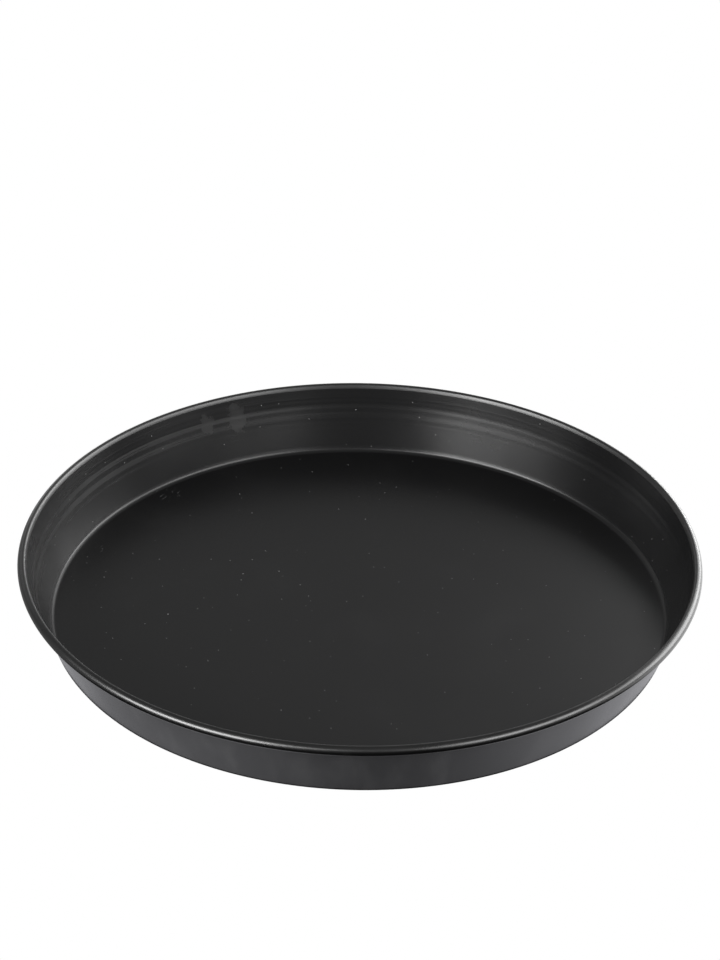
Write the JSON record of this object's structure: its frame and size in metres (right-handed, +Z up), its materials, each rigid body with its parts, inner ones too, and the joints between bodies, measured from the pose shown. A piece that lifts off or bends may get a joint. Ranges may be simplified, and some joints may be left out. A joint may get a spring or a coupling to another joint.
{
  "type": "round baking tray",
  "caption": "Shallow round baking tray of dark coated sheet steel with a flat floor, a flared wall and an edge rolled outwards over a wire ring, for pizza, tarts and flat cakes.",
  "frame": {"origin": "centre of the underside of the floor, on the surface that the tray stands on", "axes": "+Z up along the tray's axis of revolution; X and Y in the plane of the floor, with +X through the butt of the rim wire"},
  "size_m": [0.32, 0.32, 0.033],
  "materials": {
    "black_coated_steel": "satin black non-stick coating",
    "rim_wire_steel": "plain drawn steel wire"
  },
  "bodies": {
    "root": {"pan_shell": "black_coated_steel", "rim_wire": "rim_wire_steel"}
  },
  "joints": []
}
